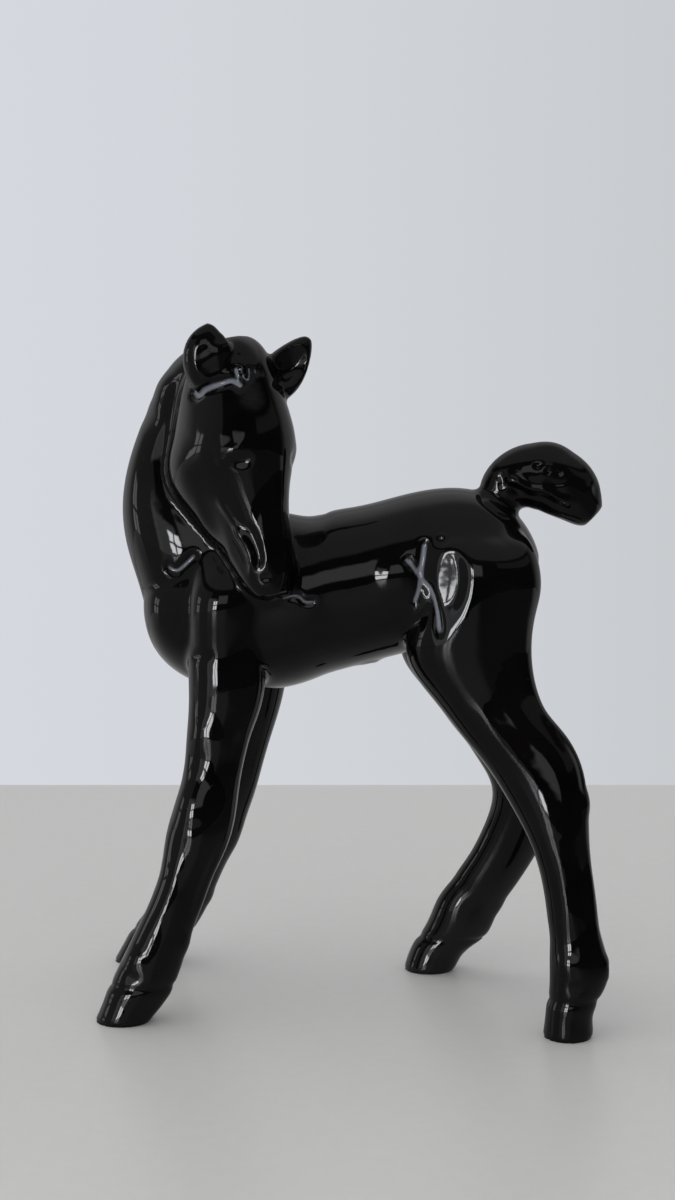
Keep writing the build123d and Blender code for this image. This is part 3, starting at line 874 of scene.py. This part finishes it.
class FOAL_OT_clay(bpy.types.Operator):
    """Lutes the castings into one figure, fills the joints and models its features"""

    bl_idname = "foal.clay"
    bl_label = "Model the clay"

    def execute(self, context):
        looks = context.scene.foal_clay
        grain = looks.grain
        mesh = lute_castings(grain)
        clay = Clay(mesh, grain / MM)
        clay.relax(6)
        jaw = clay.reach((-33.0, -16.0, 150.0), (21.0, 16.0, 34.0)) ** 0.5
        away_from_jaw = 1.0 - 0.92 * np.minimum(jaw * 1.4, 1.0)
        clay.fill_hollows(int((looks.fillet / grain) ** 2), 0.012 * clay.spacing, away_from_jaw)
        model_body(clay)
        model_tail(clay)
        model_legs(clay)
        model_head(clay)
        model_ears(clay)
        work_by_hand(clay)
        clay.relax(6)
        model_hooves(clay)
        model_beads(clay)
        open_vent(clay, looks.vent_radius)
        clay.at = np.clip(clay.at, np.array(LOWEST) / MM, np.array(HIGHEST) / MM)
        facing = clay.facing()
        for _ in range(2):
            facing = 0.5 * (facing + clay.around(facing))
        facing /= np.linalg.norm(facing, axis=1)[:, None]
        clay.store(mesh)
        layer = mesh.attributes.new("facing", "FLOAT_VECTOR", "POINT")
        layer.data.foreach_set("vector", facing.ravel())
        # The weights of the highlight painted into the folds go on the points for the glaze
        layer = mesh.attributes.new("pool", "FLOAT", "POINT")
        layer.data.foreach_set("value", clay.pool)
        part_figure(mesh)
        bpy.data.objects.new(CLAY, mesh).use_fake_user = True
        return {"FINISHED"}


def cast(names):
    """Takes castings out of the clay, once it has been modelled."""
    if CLAY not in bpy.data.objects:
        raise RuntimeError("model the clay first")
    for name in names:
        take_casting(name, finishes())


class FOAL_OT_trunk(bpy.types.Operator):
    """Takes the trunk from the modelled clay and glazes it"""

    bl_idname = "foal.trunk"
    bl_label = "Trunk"

    def execute(self, context):
        cast(["trunk"])
        return {"FINISHED"}


class FOAL_OT_head(bpy.types.Operator):
    """Takes the head and the neck from the modelled clay and glazes them"""

    bl_idname = "foal.head"
    bl_label = "Head and neck"

    def execute(self, context):
        cast(["neck", "head"])
        return {"FINISHED"}


class FOAL_OT_ears(bpy.types.Operator):
    """Takes both ears from the modelled clay and glazes them"""

    bl_idname = "foal.ears"
    bl_label = "Ears"

    def execute(self, context):
        cast(["near_ear", "far_ear"])
        return {"FINISHED"}


class FOAL_OT_legs(bpy.types.Operator):
    """Takes the four legs from the modelled clay and glazes them"""

    bl_idname = "foal.legs"
    bl_label = "Legs"

    def execute(self, context):
        cast(["near_foreleg", "far_foreleg", "near_hind_leg", "far_hind_leg"])
        return {"FINISHED"}


class FOAL_OT_tail(bpy.types.Operator):
    """Takes the tail from the modelled clay and glazes it"""

    bl_idname = "foal.tail"
    bl_label = "Tail"

    def execute(self, context):
        cast(["tail"])
        bpy.data.objects.remove(bpy.data.objects[CLAY])
        return {"FINISHED"}


class FOAL_OT_stage(bpy.types.Operator):
    """Lays the table, lights the room and sets up the camera"""

    bl_idname = "foal.stage"
    bl_label = "Stage"

    def execute(self, context):
        lay_table()
        light_room()
        place_camera(context.scene.foal_stage)
        context.scene.view_settings.view_transform = "Standard"
        return {"FINISHED"}


def lay_table():
    """A plain pale table top, satin, that ends a hand's breadth behind the figure, with painted shade on its front
    where the glaze reflects it.
    """
    surface = bmesh.new()
    bmesh.ops.create_grid(surface, x_segments=1, y_segments=1, size=TABLE_REACH)
    bmesh.ops.translate(surface, verts=surface.verts, vec=(0.0, TABLE_BACK - TABLE_REACH, 0.0))
    turn = Matrix.Rotation(bpy.context.scene.foal_stage.camera_turn, 3, "Z")
    bmesh.ops.rotate(surface, verts=surface.verts, cent=(0.0, TABLE_BACK, 0.0), matrix=turn)
    mesh = bpy.data.meshes.new("table")
    surface.to_mesh(mesh)
    surface.free()
    table = bpy.data.objects.new("table", mesh)
    bpy.context.scene.collection.objects.link(table)
    material = bpy.data.materials.new("table_top")
    material.use_nodes = True
    tree = Tree(material.node_tree)
    place = tree.node("ShaderNodeTexCoord").out("Object")
    grain = tree.node("ShaderNodeTexNoise", None, {"Vector": place, "Scale": 240.0, "Detail": 3.0}).out(0)
    colour = tree.mixed(grain, (0.600, 0.600, 0.585, 1.0), (0.640, 0.640, 0.625, 1.0))
    # Painted shade: in the glaze's reflections the table before the figure is dark, darker towards the right
    mirrored = tree.node("ShaderNodeLightPath").out("Is Glossy Ray")
    way = tree.node("ShaderNodeSeparateXYZ", None, {"Vector": place})
    before = 1.0 - tree.smooth_step(way.out("Y"), -0.08, 0.12)
    right = tree.smooth_step(way.out("X"), 0.03, 0.25)
    colour = tree.mixed(mirrored * before * (0.76 + 0.17 * right), colour, (0.02, 0.02, 0.022, 1.0))
    shader = tree.node("ShaderNodeBsdfPrincipled", None, {"Base Color": colour, "Roughness": 0.32})
    tree.node("ShaderNodeOutputMaterial", None, {"Surface": shader.out()})
    mesh.materials.append(material)


# What the glaze mirrors: bearing from the front (right is positive), height, width and depth in degrees, and
# brightness. Each soft edge is this many degrees wide to either side, and the room is this bright elsewhere.
DIM = 0.012
ROOM_EDGE = 1.5
WINDOW_EDGE = 0.6
ROOM = (
    ("left wall", -88.0, 10.0, 96.0, 44.0, 0.16),
    ("lit curtain", -33.0, 9.0, 24.0, 22.0, 0.60),
    ("pale board", -5.0, 18.0, 24.0, 17.0, 0.62),
    ("right wall", 66.0, 30.0, 60.0, 12.0, 0.12),
)
WINDOWS = (
    ("front window", -24.0, 8.0, 11.0, 14.0, 12.0),
    ("side window", -84.0, 6.0, 12.0, 18.0, 1.2),
)


def light_room():
    """A room with pale walls behind and above, dim before the figure, and two windows on the left."""
    world = bpy.data.worlds.new("room")
    world.use_nodes = True
    tree = Tree(world.node_tree)
    way = tree.node("ShaderNodeSeparateXYZ", None, {"Vector": tree.node("ShaderNodeTexCoord").out("Generated")})
    right, back, up = way.out("X"), way.out("Y"), way.out("Z")
    bearing = tree.node("ShaderNodeMath", {"operation": "ARCTAN2"}, {0: right, 1: back * -1.0}).out() * DEGREES
    height = tree.node("ShaderNodeMath", {"operation": "ARCSINE"}, {0: up}).out() * DEGREES

    def patch(turn, rise, width, depth, soft):
        across = abs(bearing - turn)
        along = abs(height - rise)
        inside = 1.0 - tree.smooth_step(across, width / 2 - soft, width / 2 + soft)
        inside = inside * (1.0 - tree.smooth_step(along, depth / 2 - soft, depth / 2 + soft))
        return inside, across, along

    ceiling = tree.smooth_step(height, 38.0, 44.0)
    behind = tree.smooth_step(back, 0.05, 0.45)
    light = DIM + 0.20 * ceiling + behind * (0.33 - 0.08 * ceiling)
    for _, turn, rise, width, depth, bright in ROOM:
        inside, _, _ = patch(turn, rise, width, depth, ROOM_EDGE)
        light = light + inside * (bright - DIM)
    for _, turn, rise, width, depth, bright in WINDOWS:
        inside, across, along = patch(turn, rise, width, depth, WINDOW_EDGE)
        bars = tree.smooth_step(across, 0.5, 1.1) * tree.smooth_step(along, 0.5, 1.1)
        light = light + inside * bars * bright
    mirrored = tree.node("ShaderNodeCombineColor", None, {0: light, 1: light * 1.01, 2: light * 1.045}).out()
    ray = tree.node("ShaderNodeLightPath")
    across = tree.smooth_step(right, -0.35, 0.4)
    wall = tree.mixed(across, (0.665, 0.690, 0.735, 1.0), (0.530, 0.545, 0.555, 1.0))
    soft = 1.16 - 0.46 * tree.smooth_step(bearing, -90.0, 60.0)
    soft = tree.node("ShaderNodeCombineColor", None, {0: soft, 1: soft, 2: soft * 1.01}).out()
    colour = tree.mixed(ray.out("Is Glossy Ray"), soft, mirrored)
    colour = tree.mixed(ray.out("Is Camera Ray"), colour, wall)
    shader = tree.node("ShaderNodeBackground", None, {"Color": colour, "Strength": 1.0})
    tree.node("ShaderNodeOutputWorld", None, {"Surface": shader.out()})
    bpy.context.scene.world = world


def place_camera(looks):
    """The camera, a little above the figure's back and to its right, looking slightly down."""
    lens = bpy.data.cameras.new("camera")
    lens.sensor_width = 36.0
    lens.lens = looks.lens
    lens.clip_start = 0.01
    camera = bpy.data.objects.new("camera", lens)
    camera.location = looks.camera_place
    camera.rotation_euler = (math.pi / 2 - looks.camera_pitch, 0.0, looks.camera_turn)
    bpy.context.scene.collection.objects.link(camera)
    bpy.context.scene.camera = camera


class FOAL_PT_panel(bpy.types.Panel):
    """The foal's steps, in order"""

    bl_label = "Glazed foal"
    bl_space_type = "VIEW_3D"
    bl_region_type = "UI"
    bl_category = "Foal"

    def draw(self, context):
        for step in STEPS:
            self.layout.operator(step.bl_idname)
        for settings in (context.scene.foal_clay, context.scene.foal_glaze, context.scene.foal_stage):
            for name in settings.__annotations__:
                self.layout.prop(settings, name)


SETTINGS = {"foal_clay": ClaySettings, "foal_glaze": GlazeSettings, "foal_stage": StageSettings}
STEPS = (FOAL_OT_clay, FOAL_OT_trunk, FOAL_OT_head, FOAL_OT_ears, FOAL_OT_legs, FOAL_OT_tail, FOAL_OT_stage)
CLASSES = (*SETTINGS.values(), *STEPS, FOAL_PT_panel)


def register():
    for each in CLASSES:
        bpy.utils.register_class(each)
    for name, group in SETTINGS.items():
        setattr(bpy.types.Scene, name, PointerProperty(type=group))


def unregister():
    for name in SETTINGS:
        delattr(bpy.types.Scene, name)
    for each in reversed(CLASSES):
        bpy.utils.unregister_class(each)


def main():
    register()
    bpy.ops.foal.clay()
    bpy.ops.foal.trunk()
    bpy.ops.foal.head()
    bpy.ops.foal.ears()
    bpy.ops.foal.legs()
    bpy.ops.foal.tail()
    bpy.ops.foal.stage()
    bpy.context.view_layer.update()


if __name__ == "__main__":
    main()
